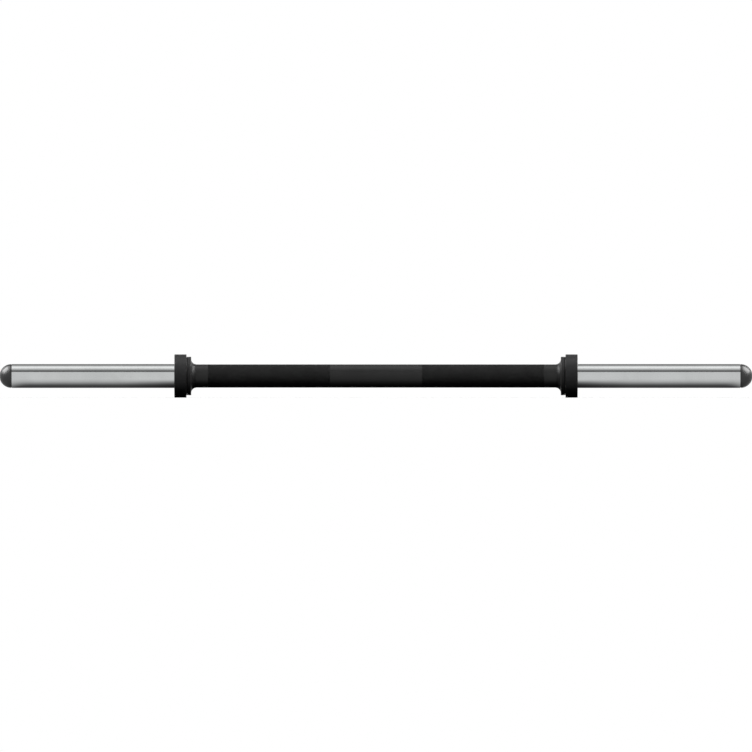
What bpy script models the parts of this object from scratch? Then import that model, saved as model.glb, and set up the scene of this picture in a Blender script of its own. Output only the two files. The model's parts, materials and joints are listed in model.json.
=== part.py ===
# Short thick-grip olympic barbell whose two loading sleeves turn on bronze bushings.
# Metres, +Z up. The bar lies along X and the middle of its grip is the origin.
# Each end is built outward along the +Z of its own empty, which points along the bar.

import math

import bmesh
import bpy
from mathutils import Matrix

# Clearance between any two pieces that fit or seat on each other
FIT = 0.0003

# Grip tube
GRIP_DIAMETER = 0.0483
GRIP_WALL = 0.0061
CENTRE_BAND = 0.1914
KNURL_LENGTH = 0.2538
END_BAND = 0.0250
KNURL_RISE = 0.0001
TUBE_RECESS = 0.0010

# Shoulder collar, a rim that flares down onto the grip
COLLAR_DIAMETER = 0.0800
COLLAR_RIM = 0.0065
FLARE_RADIUS = 0.0100
FLARE_LIP = 0.0004
COLLAR_EDGE = 0.0005

# Thrust washer between the collar and the turning flange, just below the collar's rim
THRUST_WASHER_STEP = 0.0001
THRUST_WASHER_THICKNESS = 0.0027
THRUST_WASHER_EDGE = 0.0004

# Flange that stops the plates
FLANGE_DIAMETER = 0.0900
FLANGE_THICKNESS = 0.0250
FLANGE_EDGE = 0.0008
FLANGE_POCKET = 0.0030

# Loading sleeve
SLEEVE_DIAMETER = 0.0500
LOADING_LENGTH = 0.3390
FLANGE_SEAT_DEPTH = 0.0015
SLEEVE_EDGE = 0.0010

# Spindle that carries the sleeve
JOURNAL_DIAMETER = 0.0300
PLUG_LENGTH = 0.0900
SPINDLE_LAND = 0.0050
SPINDLE_EDGE = 0.0010

# Cross pin that locks the spindle in the grip tube, under the shoulder collar
PIN_DIAMETER = 0.0060
PIN_SETBACK = 0.0070

# Bronze bushings, two in each sleeve
BUSHING_LENGTH = 0.0400
BUSHING_WALL = 0.0030
BUSHING_FLANGE_HEIGHT = 0.0019
BUSHING_FLANGE_THICKNESS = 0.0025
BUSHING_EDGE = 0.0005

# Washers and snap ring that keep the sleeve on its spindle
WEAR_WASHER_THICKNESS = 0.0020
END_WASHER_THICKNESS = 0.0025
WASHER_CLEARANCE = 0.0006
SNAP_RING_THICKNESS = 0.0015
SNAP_RING_WIDTH = 0.0032
SNAP_RING_GROOVE = 0.0012
SNAP_RING_EAR = 0.0018
EAR_HOLE_DIAMETER = 0.0018
EAR_ANGLE = math.radians(18)
GAP_ANGLE = math.radians(24)

# Domed end cap and the ring that grips it in the sleeve
CAP_STEP = 0.0003
CAP_SPIGOT = 0.0120
CAP_GROOVE_WALL = 0.0012
CAP_ROOM = 0.0020
O_RING_SECTION = 0.0020
O_RING_SETBACK = 0.0045

# Facets round each piece, a multiple of four so that flats lie lowest and to each side
SEGMENTS = 40
RING_STEPS = 24
FLARE_STEPS = 5
DOME_STEPS = 7
BORE_DOME_STEPS = 4
O_RING_STEPS = 8
PIN_STEPS = 16
SHARP_ANGLE = math.radians(35)

# Radii that follow from the driving sizes; a facet's middle, and not its corner, is at these
WIDEN = 1 / math.cos(math.pi / SEGMENTS)
GRIP_RADIUS = GRIP_DIAMETER / 2
TUBE_BORE = GRIP_RADIUS - GRIP_WALL
SLEEVE_RADIUS = SLEEVE_DIAMETER / 2
SEAT_RADIUS = SLEEVE_RADIUS - FLANGE_SEAT_DEPTH
JOURNAL_RADIUS = JOURNAL_DIAMETER / 2
RUNNING_BORE = JOURNAL_RADIUS + FIT
BUSHING_RADIUS = RUNNING_BORE + BUSHING_WALL
BUSHING_FLANGE_RADIUS = BUSHING_RADIUS + BUSHING_FLANGE_HEIGHT
SLEEVE_BORE = BUSHING_RADIUS + FIT
COUNTERBORE = BUSHING_FLANGE_RADIUS + FIT
WASHER_RADIUS = COUNTERBORE - WASHER_CLEARANCE
GROOVE_FLOOR = JOURNAL_RADIUS - SNAP_RING_GROOVE
CAP_RADIUS = SLEEVE_RADIUS - CAP_STEP
SPIGOT_RADIUS = COUNTERBORE - FIT
CAP_GROOVE_FLOOR = SPIGOT_RADIUS - O_RING_SECTION - FIT
CAP_BORE = CAP_GROOVE_FLOOR - CAP_GROOVE_WALL

# Places along the bar, as distances from its middle
KNURL_START = CENTRE_BAND / 2
KNURL_END = KNURL_START + KNURL_LENGTH
COLLAR_START = KNURL_END + END_BAND
COLLAR_LENGTH = FLARE_RADIUS + COLLAR_RIM
COLLAR_END = COLLAR_START + COLLAR_LENGTH
TUBE_END = COLLAR_END - TUBE_RECESS
THRUST_WASHER_START = COLLAR_END + FIT
FLANGE_START = THRUST_WASHER_START + THRUST_WASHER_THICKNESS + FIT
SLEEVE_LENGTH = FLANGE_THICKNESS + LOADING_LENGTH
SLEEVE_END = FLANGE_START + SLEEVE_LENGTH
GROOVE_WIDTH = SNAP_RING_THICKNESS + 2 * FIT
WEAR_WASHER_OFFSET = FIT + BUSHING_FLANGE_THICKNESS + FIT
END_WASHER_OFFSET = WEAR_WASHER_OFFSET + WEAR_WASHER_THICKNESS + FIT
GROOVE_OFFSET = END_WASHER_OFFSET + END_WASHER_THICKNESS
SPINDLE_END_OFFSET = GROOVE_OFFSET + GROOVE_WIDTH + SPINDLE_LAND
COUNTERBORE_DEPTH = SPINDLE_END_OFFSET + CAP_ROOM + CAP_SPIGOT - FIT
COUNTERBORE_FLOOR = SLEEVE_END - COUNTERBORE_DEPTH
RECESS_DEPTH = BUSHING_FLANGE_THICKNESS + FIT
SPINDLE_START = TUBE_END - PLUG_LENGTH
SPINDLE_LENGTH = COUNTERBORE_FLOOR + SPINDLE_END_OFFSET - SPINDLE_START
CAP_START = SLEEVE_END + FIT
PIN_PLACE = TUBE_END - PIN_SETBACK

FINISHES = {
    "black_oxide": ((0.035, 0.035, 0.038), 0.45, 0.85),
    "satin_black": ((0.040, 0.040, 0.042), 0.38, 0.80),
    "hard_chrome": ((0.760, 0.770, 0.780), 0.10, 1.00),
    "ground_steel": ((0.450, 0.450, 0.460), 0.25, 1.00),
    "bearing_bronze": ((0.620, 0.400, 0.180), 0.35, 1.00),
    "black_polymer": ((0.020, 0.020, 0.020), 0.60, 0.00),
    "spring_steel": ((0.160, 0.160, 0.175), 0.35, 1.00),
    "gunmetal": ((0.160, 0.160, 0.165), 0.35, 0.90),
    "seal_rubber": ((0.015, 0.015, 0.015), 0.80, 0.00),
}


def clear_scene():
    for old in list(bpy.data.objects):
        bpy.data.objects.remove(old, do_unlink=True)


def make_collection(name):
    collection = bpy.data.collections.new(name)
    bpy.context.scene.collection.children.link(collection)
    return collection


def make_finish(name):
    colour, roughness, metallic = FINISHES[name]
    finish = bpy.data.materials.new(name)
    finish.use_nodes = True
    finish.diffuse_color = (*colour, 1)
    shader = finish.node_tree.nodes["Principled BSDF"]
    shader.inputs["Base Color"].default_value = (*colour, 1)
    shader.inputs["Roughness"].default_value = roughness
    shader.inputs["Metallic"].default_value = metallic
    return finish


def shade_round(mesh):
    mesh.shade_smooth()
    mesh.set_sharp_from_angle(angle=SHARP_ANGLE)
    return mesh


def lay_flat(mesh):
    """Turn the mesh by half a facet, so that a flat lies lowest and not a corner."""
    mesh.transform(Matrix.Rotation(math.pi / SEGMENTS, 4, "Z"))
    return mesh


def turned(name, profile, closed=True):
    """Turn (radius, height) points round Z; they run down the outer side, then up the inner."""
    count = len(profile)
    edges = [(i, i + 1) for i in range(count - 1)]
    if closed:
        edges.append((count - 1, 0))
    outline = bpy.data.meshes.new(name + "_profile")
    corners = [(radius * WIDEN, 0, height) for radius, height in profile]
    outline.from_pydata(corners, edges, [])
    blank = bpy.data.objects.new(name + "_blank", outline)
    bpy.context.scene.collection.objects.link(blank)
    screw = blank.modifiers.new("Turn", "SCREW")
    screw.axis = "Z"
    screw.angle = 2 * math.pi
    screw.steps = screw.render_steps = SEGMENTS
    screw.use_merge_vertices = True
    screw.merge_threshold = 0.00001
    bpy.context.view_layer.update()
    evaluated = blank.evaluated_get(bpy.context.evaluated_depsgraph_get())
    mesh = bpy.data.meshes.new_from_object(evaluated)
    mesh.name = name
    bpy.data.objects.remove(blank)
    bpy.data.meshes.remove(outline)
    return shade_round(lay_flat(mesh))


def arc(centre_radius, centre_height, radius, start, end, steps):
    """Points on an arc in the profile's plane, angles in degrees from outward to up."""
    points = []
    for i in range(steps + 1):
        angle = math.radians(start + (end - start) * i / steps)
        points.append((centre_radius + radius * math.cos(angle),
                       centre_height + radius * math.sin(angle)))
    return points


def ring(inner, outer, length, edge=0.0):
    """Profile of a plain ring; an edge above zero chamfers both outer corners."""
    if not edge:
        return [(inner, length), (outer, length), (outer, 0), (inner, 0)]
    return [
        (inner, length), (outer - edge, length), (outer, length - edge),
        (outer, edge), (outer - edge, 0), (inner, 0),
    ]


def grip_tube_mesh():
    ridge = GRIP_RADIUS + KNURL_RISE
    half = [
        (TUBE_BORE, TUBE_END), (GRIP_RADIUS, TUBE_END), (GRIP_RADIUS, KNURL_END),
        (ridge, KNURL_END), (ridge, KNURL_START), (GRIP_RADIUS, KNURL_START),
    ]
    other_half = [(radius, -height) for radius, height in reversed(half)]
    return turned("grip_tube", half + other_half)


def spindle_mesh():
    plug = TUBE_BORE - FIT
    groove_low = SPINDLE_LENGTH - SPINDLE_LAND - GROOVE_WIDTH
    groove_high = groove_low + GROOVE_WIDTH
    profile = [
        (0, SPINDLE_LENGTH),
        (JOURNAL_RADIUS - SPINDLE_EDGE, SPINDLE_LENGTH),
        (JOURNAL_RADIUS, SPINDLE_LENGTH - SPINDLE_EDGE),
        (JOURNAL_RADIUS, groove_high), (GROOVE_FLOOR, groove_high),
        (GROOVE_FLOOR, groove_low), (JOURNAL_RADIUS, groove_low),
        (JOURNAL_RADIUS, PLUG_LENGTH), (plug, PLUG_LENGTH),
        (plug, SPINDLE_EDGE), (plug - SPINDLE_EDGE, 0), (0, 0),
    ]
    return turned("spindle", profile, closed=False)


def shoulder_collar_mesh():
    bore = GRIP_RADIUS + FIT
    lip = bore + FLARE_LIP
    rim = COLLAR_DIAMETER / 2
    profile = [
        (bore, COLLAR_LENGTH),
        (rim - COLLAR_EDGE, COLLAR_LENGTH), (rim, COLLAR_LENGTH - COLLAR_EDGE),
        (rim, FLARE_RADIUS + COLLAR_EDGE), (rim - COLLAR_EDGE, FLARE_RADIUS),
    ]
    profile += arc(lip + FLARE_RADIUS, 0, FLARE_RADIUS, 90, 180, FLARE_STEPS)
    profile.append((bore, 0))
    return turned("shoulder_collar", profile)


def thrust_washer_mesh():
    rim = COLLAR_DIAMETER / 2 - THRUST_WASHER_STEP
    profile = ring(RUNNING_BORE, rim, THRUST_WASHER_THICKNESS, THRUST_WASHER_EDGE)
    return turned("thrust_washer", profile)


def flange_mesh():
    """Ring with a pocket in its outer face, so that the sleeve's shoulder seats below it."""
    seat = SEAT_RADIUS + FIT
    mouth = SLEEVE_RADIUS + FIT
    floor = FLANGE_THICKNESS - FLANGE_POCKET
    profile = ring(mouth, FLANGE_DIAMETER / 2, FLANGE_THICKNESS, FLANGE_EDGE)
    profile[-1] = (seat, 0)
    profile += [(seat, floor), (mouth, floor)]
    return turned("flange", profile)


def sleeve_mesh():
    shoulder = FLANGE_THICKNESS - FLANGE_POCKET + FIT
    floor = SLEEVE_LENGTH - COUNTERBORE_DEPTH
    profile = [
        (COUNTERBORE, SLEEVE_LENGTH),
        (SLEEVE_RADIUS - SLEEVE_EDGE, SLEEVE_LENGTH),
        (SLEEVE_RADIUS, SLEEVE_LENGTH - SLEEVE_EDGE),
        (SLEEVE_RADIUS, shoulder), (SEAT_RADIUS, shoulder),
        (SEAT_RADIUS, 0), (COUNTERBORE, 0),
        (COUNTERBORE, RECESS_DEPTH), (SLEEVE_BORE, RECESS_DEPTH),
        (SLEEVE_BORE, floor), (COUNTERBORE, floor),
    ]
    return turned("sleeve", profile)


def bushing_mesh():
    """Flanged bushing with its flange at height zero."""
    profile = [
        (RUNNING_BORE, BUSHING_LENGTH),
        (BUSHING_RADIUS - BUSHING_EDGE, BUSHING_LENGTH),
        (BUSHING_RADIUS, BUSHING_LENGTH - BUSHING_EDGE),
        (BUSHING_RADIUS, BUSHING_FLANGE_THICKNESS),
        (BUSHING_FLANGE_RADIUS, BUSHING_FLANGE_THICKNESS),
        (BUSHING_FLANGE_RADIUS, 0), (RUNNING_BORE, 0),
    ]
    return turned("bushing", profile)


def washer_mesh(name, thickness):
    return turned(name, ring(RUNNING_BORE, WASHER_RADIUS, thickness))


def end_cap_mesh():
    """Hollow dome above height zero, with a grooved spigot below it."""
    half_groove = O_RING_SECTION / 2 + FIT
    profile = arc(0, 0, CAP_RADIUS, 90, 0, DOME_STEPS)
    profile += [
        (SPIGOT_RADIUS, 0),
        (SPIGOT_RADIUS, half_groove - O_RING_SETBACK),
        (CAP_GROOVE_FLOOR, half_groove - O_RING_SETBACK),
        (CAP_GROOVE_FLOOR, -half_groove - O_RING_SETBACK),
        (SPIGOT_RADIUS, -half_groove - O_RING_SETBACK),
        (SPIGOT_RADIUS, -CAP_SPIGOT), (CAP_BORE, -CAP_SPIGOT),
    ]
    profile += arc(0, 0, CAP_BORE, 0, 90, BORE_DOME_STEPS)
    return turned("end_cap", profile, closed=False)


def cap_ring_mesh():
    bpy.ops.mesh.primitive_torus_add(
        major_radius=SPIGOT_RADIUS - O_RING_SECTION / 2, minor_radius=O_RING_SECTION / 2,
        major_segments=SEGMENTS, minor_segments=O_RING_STEPS)
    blank = bpy.context.object
    mesh = blank.data
    mesh.name = "cap_ring"
    bpy.data.objects.remove(blank)
    mesh.shade_smooth()
    return lay_flat(mesh)


def cross_rod_mesh(name, diameter, length):
    """Round rod centred on the origin and lying along Y, straight across the bar."""
    rod = bmesh.new()
    bmesh.ops.create_cone(rod, cap_ends=True, segments=PIN_STEPS, radius1=diameter / 2,
                          radius2=diameter / 2, depth=length,
                          matrix=Matrix.Rotation(math.pi / 2, 4, "X"))
    mesh = bpy.data.meshes.new(name)
    rod.to_mesh(mesh)
    rod.free()
    return shade_round(mesh)


def polar(radius, angle):
    return (radius * math.cos(angle), radius * math.sin(angle))


def add_loop(curve, points):
    spline = curve.splines.new("POLY")
    spline.points.add(len(points) - 1)
    for spot, (x, y) in zip(spline.points, points):
        spot.co = (x, y, 0, 1)
    spline.use_cyclic_u = True


def snap_ring_curve():
    """Open ring with an eared gap, flat in XY, centred on its own thickness."""
    inner = GROOVE_FLOOR + FIT
    outer = inner + SNAP_RING_WIDTH
    ear = outer + SNAP_RING_EAR
    gap_end = GAP_ANGLE / 2
    ear_end = gap_end + EAR_ANGLE
    span = 2 * math.pi - 2 * ear_end
    inner_span = 2 * math.pi - 2 * gap_end
    points = [polar(ear, gap_end), polar(ear, ear_end)]
    points += [polar(outer, ear_end + span * i / RING_STEPS) for i in range(RING_STEPS + 1)]
    points += [polar(ear, -ear_end), polar(ear, -gap_end)]
    points += [polar(inner, -gap_end - inner_span * i / RING_STEPS) for i in range(RING_STEPS + 1)]
    curve = bpy.data.curves.new("snap_ring", "CURVE")
    curve.dimensions = "2D"
    curve.fill_mode = "BOTH"
    curve.extrude = SNAP_RING_THICKNESS / 2
    add_loop(curve, points)
    for side in (1, -1):
        x, y = polar((inner + ear) / 2, side * (gap_end + EAR_ANGLE / 2))
        hole = [polar(EAR_HOLE_DIAMETER / 2, math.radians(45 * k)) for k in range(8)]
        add_loop(curve, [(x + u, y + v) for u, v in hole])
    return curve


def add_empty(collection, name, parent=None, turn=0.0):
    empty = bpy.data.objects.new(name, None)
    empty.empty_display_size = 0.05
    empty.rotation_euler = (0, turn, 0)
    empty.parent = parent
    collection.objects.link(empty)
    return empty


def add_piece(collection, name, shape, parent, along=0.0, flipped=False):
    piece = bpy.data.objects.new(name, shape)
    piece.location = (0, 0, along)
    if flipped:
        piece.rotation_euler = (math.pi, 0, 0)
    piece.parent = parent
    collection.objects.link(piece)
    return piece


def drill(piece, cutter):
    hole = piece.modifiers.new("Pin hole", "BOOLEAN")
    hole.operation = "DIFFERENCE"
    hole.solver = "EXACT"
    hole.object = cutter


def add_pin_drill(cutters, name, end):
    shape = cross_rod_mesh(name, PIN_DIAMETER + 2 * FIT, 2 * GRIP_DIAMETER)
    cutter = add_piece(cutters, name, shape, end, PIN_PLACE)
    cutter.display_type = "WIRE"
    cutter.hide_render = True
    return cutter


def make_shapes():
    pin = cross_rod_mesh("cross_pin", PIN_DIAMETER, GRIP_DIAMETER - 2 * FIT)
    shapes = {
        "spindle": (spindle_mesh(), "ground_steel"),
        "cross_pin": (pin, "spring_steel"),
        "shoulder_collar": (shoulder_collar_mesh(), "satin_black"),
        "thrust_washer": (thrust_washer_mesh(), "black_polymer"),
        "flange": (flange_mesh(), "satin_black"),
        "sleeve": (sleeve_mesh(), "hard_chrome"),
        "bushing": (bushing_mesh(), "bearing_bronze"),
        "wear_washer": (washer_mesh("wear_washer", WEAR_WASHER_THICKNESS), "bearing_bronze"),
        "end_washer": (washer_mesh("end_washer", END_WASHER_THICKNESS), "ground_steel"),
        "snap_ring": (snap_ring_curve(), "spring_steel"),
        "end_cap": (end_cap_mesh(), "gunmetal"),
        "cap_o_ring": (cap_ring_mesh(), "seal_rubber"),
    }
    finishes = {name: make_finish(name) for name in FINISHES}
    for shape, finish in shapes.values():
        shape.materials.append(finishes[finish])
    grip = grip_tube_mesh()
    grip.materials.append(finishes["black_oxide"])
    return grip, {name: shape for name, (shape, finish) in shapes.items()}


def build_fixed_pieces(collection, shapes, side, end):
    ring_middle = GROOVE_OFFSET + GROOVE_WIDTH / 2
    places = {
        "spindle": SPINDLE_START,
        "cross_pin": PIN_PLACE,
        "shoulder_collar": COLLAR_START,
        "thrust_washer": THRUST_WASHER_START,
        "wear_washer": COUNTERBORE_FLOOR + WEAR_WASHER_OFFSET,
        "end_washer": COUNTERBORE_FLOOR + END_WASHER_OFFSET,
        "snap_ring": COUNTERBORE_FLOOR + ring_middle,
    }
    placed = {}
    for name, along in places.items():
        placed[name] = add_piece(collection, name + "_" + side, shapes[name], end, along)
    return placed["spindle"]


def build_turning_pieces(collection, shapes, side, hub):
    outer_bushing = COUNTERBORE_FLOOR + FIT + BUSHING_FLANGE_THICKNESS
    add_piece(collection, "flange_" + side, shapes["flange"], hub, FLANGE_START)
    add_piece(collection, "sleeve_" + side, shapes["sleeve"], hub, FLANGE_START)
    add_piece(collection, "inner_bushing_" + side, shapes["bushing"], hub, FLANGE_START)
    add_piece(collection, "outer_bushing_" + side, shapes["bushing"], hub, outer_bushing,
              flipped=True)
    add_piece(collection, "end_cap_" + side, shapes["end_cap"], hub, CAP_START)
    add_piece(collection, "cap_o_ring_" + side, shapes["cap_o_ring"], hub,
              CAP_START - O_RING_SETBACK)


def build_barbell():
    clear_scene()
    collection = make_collection("olympic_barbell")
    cutters = make_collection("cutters")
    grip_shape, shapes = make_shapes()
    bar_axis = add_empty(collection, "bar_axis", turn=math.pi / 2)
    grip = add_piece(collection, "grip_tube", grip_shape, bar_axis)
    for side, turn in (("right", math.pi / 2), ("left", -math.pi / 2)):
        end = add_empty(collection, side + "_end", turn=turn)
        hub = add_empty(collection, side + "_sleeve_axis", parent=end)
        spindle = build_fixed_pieces(collection, shapes, side, end)
        cutter = add_pin_drill(cutters, "pin_drill_" + side, end)
        drill(spindle, cutter)
        drill(grip, cutter)
        build_turning_pieces(collection, shapes, side, hub)
    bpy.context.view_layer.update()


build_barbell()
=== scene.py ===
import json
import math
import random

import bmesh
import bpy
from mathutils import Matrix, Vector

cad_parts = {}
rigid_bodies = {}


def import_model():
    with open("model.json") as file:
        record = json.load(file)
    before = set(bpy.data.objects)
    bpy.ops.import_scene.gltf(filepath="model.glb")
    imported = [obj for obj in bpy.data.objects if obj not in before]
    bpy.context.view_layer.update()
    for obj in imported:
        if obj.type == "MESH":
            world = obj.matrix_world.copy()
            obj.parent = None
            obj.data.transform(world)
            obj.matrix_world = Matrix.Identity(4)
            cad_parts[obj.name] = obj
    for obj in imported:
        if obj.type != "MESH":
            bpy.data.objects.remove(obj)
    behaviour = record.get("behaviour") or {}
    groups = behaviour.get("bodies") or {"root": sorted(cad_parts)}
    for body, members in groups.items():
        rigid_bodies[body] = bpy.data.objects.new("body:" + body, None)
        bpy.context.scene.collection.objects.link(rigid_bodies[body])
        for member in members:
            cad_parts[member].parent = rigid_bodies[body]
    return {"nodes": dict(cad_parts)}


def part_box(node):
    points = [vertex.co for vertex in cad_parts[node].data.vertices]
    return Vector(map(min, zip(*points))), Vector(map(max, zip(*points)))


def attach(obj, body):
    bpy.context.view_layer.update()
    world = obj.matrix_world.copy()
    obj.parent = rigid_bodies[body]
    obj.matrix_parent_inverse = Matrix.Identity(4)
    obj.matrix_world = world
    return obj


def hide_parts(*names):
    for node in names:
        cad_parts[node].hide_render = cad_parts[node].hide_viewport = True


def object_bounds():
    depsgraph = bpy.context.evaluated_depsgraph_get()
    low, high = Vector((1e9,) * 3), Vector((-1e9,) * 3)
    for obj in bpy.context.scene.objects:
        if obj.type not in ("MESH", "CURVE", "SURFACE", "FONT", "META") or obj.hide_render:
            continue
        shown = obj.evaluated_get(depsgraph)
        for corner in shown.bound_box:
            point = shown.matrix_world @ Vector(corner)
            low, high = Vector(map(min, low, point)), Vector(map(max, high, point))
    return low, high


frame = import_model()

cadLow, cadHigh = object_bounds()
sides = {"left": -1, "right": 1}
print("frame loaded:", len(frame["nodes"]), "solids")


# where a turned solid starts and ends along the bar, and its radius
def placeOf(node):
    low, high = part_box(node)
    nearEnd, farEnd = sorted((abs(low.x), abs(high.x)))
    return nearEnd, farEnd, high.z


# camera: level with the bar and square to it, far off as for a catalogue picture
camera = {"distance": 43.45, "lens": 1000, "sensor": 36, "clip": (0.1, 200)}


def setCamera():
    lens = bpy.data.cameras.new("catalogueCamera")
    lens.lens = camera["lens"]
    lens.sensor_width = camera["sensor"]
    lens.clip_start, lens.clip_end = camera["clip"]
    view = bpy.data.objects.new("catalogueCamera", lens)
    view.location = (0, -camera["distance"], 0)
    view.rotation_euler = (math.radians(90), 0, 0)
    bpy.context.scene.collection.objects.link(view)
    bpy.context.scene.camera = view


# node helpers
def addNode(tree, kind, **settings):
    node = tree.nodes.new("ShaderNode" + kind)
    for name, value in settings.items():
        setattr(node, name, value)
    return node


def feed(tree, socket, value):   # another node's output is linked, a plain value is set
    if isinstance(value, bpy.types.NodeSocket):
        tree.links.new(value, socket)
    else:
        socket.default_value = value


def calc(tree, operation, *values, clamp=False):
    node = addNode(tree, "Math", operation=operation, use_clamp=clamp)
    for socket, value in zip(node.inputs, values):
        feed(tree, socket, value)
    return node.outputs[0]


def hypotenuse(tree, first, second):
    squares = [calc(tree, "MULTIPLY", leg, leg) for leg in (first, second)]
    return calc(tree, "SQRT", calc(tree, "ADD", *squares))


def splitVector(tree, vector):   # into X, Y and Z
    node = addNode(tree, "SeparateXYZ")
    feed(tree, node.inputs[0], vector)
    return node.outputs


def mixColours(tree, factor, first, second):
    node = addNode(tree, "Mix", data_type="RGBA")
    for index, value in ((0, factor), (6, first), (7, second)):
        feed(tree, node.inputs[index], value)
    return node.outputs[2]


def stretchRange(tree, value, low, high, outLow=0.0, outHigh=1.0, smooth=False):
    node = addNode(tree, "MapRange", clamp=True)
    node.interpolation_type = "SMOOTHSTEP" if smooth else "LINEAR"
    for index, number in enumerate((value, low, high, outLow, outHigh)):
        feed(tree, node.inputs[index], number)
    return node.outputs[0]


def noise(tree, vector, scale, detail=2.0, roughness=0.5, distortion=0.0):
    node = addNode(tree, "TexNoise")
    feed(tree, node.inputs["Vector"], vector)
    feed(tree, node.inputs["Scale"], scale)
    node.inputs["Detail"].default_value = detail
    node.inputs["Roughness"].default_value = roughness
    node.inputs["Distortion"].default_value = distortion
    return node.outputs["Fac"]


def lineNoise(tree, place, scale, detail=2.0):   # noise that changes in one direction only
    node = addNode(tree, "TexNoise", noise_dimensions="1D")
    feed(tree, node.inputs["W"], place)
    node.inputs["Scale"].default_value = scale
    node.inputs["Detail"].default_value = detail
    return node.outputs["Fac"]


def oneOver(tree, size):   # a size in metres as a noise's scale
    return calc(tree, "DIVIDE", 1.0, size)


def grey(value):
    return (value, value, value, 1)


# shared effects, as node groups; each takes coordinates and the values that it is started with
groups = {}


def startGroup(name, values, results):
    tree = bpy.data.node_groups.new(name, "ShaderNodeTree")
    tree.interface.new_socket("Coordinates", in_out="INPUT", socket_type="NodeSocketVector")
    for label, value in values.items():
        socket = tree.interface.new_socket(label, in_out="INPUT", socket_type="NodeSocketFloat")
        socket.default_value = value
    for label in results:
        tree.interface.new_socket(label, in_out="OUTPUT", socket_type="NodeSocketFloat")
    groups[name] = tree
    given = tree.nodes.new("NodeGroupInput").outputs
    return tree, given, tree.nodes.new("NodeGroupOutput").inputs


# fine rings that a lathe tool or a polishing belt leaves round a turned piece
turningMarks = {"swayScale": 40, "ringScale": 1.0, "ringDetail": 1.5, "streakScale": 0.07}


def makeTurningMarks():
    look = turningMarks
    tree, given, result = startGroup("turningMarks", {"Ring Spacing": 0.0005, "Waver": 0.0001},
                                     ["Height", "Streak"])
    spot = given["Coordinates"]
    sway = calc(tree, "SUBTRACT", noise(tree, spot, look["swayScale"]), 0.5)
    place = calc(tree, "MULTIPLY_ADD", sway, given["Waver"], splitVector(tree, spot)["X"])
    count = calc(tree, "DIVIDE", place, given["Ring Spacing"])
    feed(tree, result["Height"], lineNoise(tree, count, look["ringScale"], look["ringDetail"]))
    feed(tree, result["Streak"], lineNoise(tree, count, look["streakScale"]))


# fine grain of a surface, and the slow cloudiness of its colour
surfaceGrain = {"grain": {"detail": 3, "roughness": 0.6},
                "cloud": {"detail": 4, "roughness": 0.55, "distortion": 0.4}}


def makeSurfaceGrain():
    look = surfaceGrain
    tree, given, result = startGroup("surfaceGrain", {"Grain Size": 0.0006, "Cloud Size": 0.03},
                                     ["Grain", "Cloud"])
    spot = given["Coordinates"]
    grain = noise(tree, spot, oneOver(tree, given["Grain Size"]), **look["grain"])
    cloud = noise(tree, spot, oneOver(tree, given["Cloud Size"]), **look["cloud"])
    feed(tree, result["Grain"], grain)
    feed(tree, result["Cloud"], cloud)


# coating rubbed through where an edge is touched; Edge is 1 on a rounded edge and 0 away from it
edgeWear = {"breakup": {"detail": 5, "roughness": 0.62}, "evenRub": 0.35, "rubbed": (0.55, 0.95)}


def makeEdgeWear():
    look = edgeWear
    tree, given, result = startGroup(
        "edgeWear", {"Edge": 0.0, "Breakup Size": 0.004, "Amount": 0.5}, ["Mask"])
    breakup = noise(tree, given["Coordinates"], oneOver(tree, given["Breakup Size"]),
                    **look["breakup"])
    rub = calc(tree, "MULTIPLY", given["Edge"], calc(tree, "ADD", breakup, look["evenRub"]))
    mask = stretchRange(tree, rub, *look["rubbed"], smooth=True)
    feed(tree, result["Mask"], calc(tree, "MULTIPLY", mask, given["Amount"], clamp=True))


# hairline scratches, long along the bar and short round it, in loose patches
hairlines = {"lines": {"scale": 1.0, "detail": 3, "roughness": 0.6}, "lineRange": (0.60, 0.70),
             "patchScale": 22, "patchRange": (0.42, 0.62)}


def makeHairlines():
    look = hairlines
    tree, given, result = startGroup(
        "hairlines", {"Length": 0.05, "Spacing": 0.0008, "Amount": 0.5}, ["Mask"])
    across = oneOver(tree, given["Spacing"])
    scales = addNode(tree, "CombineXYZ")
    for socket, value in zip(scales.inputs, (oneOver(tree, given["Length"]), across, across)):
        feed(tree, socket, value)
    drawn = addNode(tree, "VectorMath", operation="MULTIPLY")
    feed(tree, drawn.inputs[0], given["Coordinates"])
    feed(tree, drawn.inputs[1], scales.outputs[0])
    lines = stretchRange(tree, noise(tree, drawn.outputs[0], **look["lines"]), *look["lineRange"])
    patches = stretchRange(tree, noise(tree, given["Coordinates"], look["patchScale"]),
                           *look["patchRange"], smooth=True)
    both = calc(tree, "MULTIPLY", lines, patches)
    feed(tree, result["Mask"], calc(tree, "MULTIPLY", both, given["Amount"], clamp=True))


# dull patches that hands and cloths leave on a polished or coated surface
handling = {"patches": {"detail": 3, "roughness": 0.5, "distortion": 0.8},
            "patchRange": (0.42, 0.66), "smearScale": 420, "evenSmear": 0.4}


def makeHandling():
    look = handling
    tree, given, result = startGroup("handling", {"Patch Size": 0.05, "Amount": 0.5}, ["Mask"])
    spot = given["Coordinates"]
    patches = noise(tree, spot, oneOver(tree, given["Patch Size"]), **look["patches"])
    smear = calc(tree, "ADD", noise(tree, spot, look["smearScale"]), look["evenSmear"])
    mask = calc(tree, "MULTIPLY", stretchRange(tree, patches, *look["patchRange"], smooth=True),
                smear)
    feed(tree, result["Mask"], calc(tree, "MULTIPLY", mask, given["Amount"], clamp=True))


for makeGroup in (makeTurningMarks, makeSurfaceGrain, makeEdgeWear, makeHairlines, makeHandling):
    makeGroup()
print("shared effects made:", ", ".join(groups))


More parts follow.
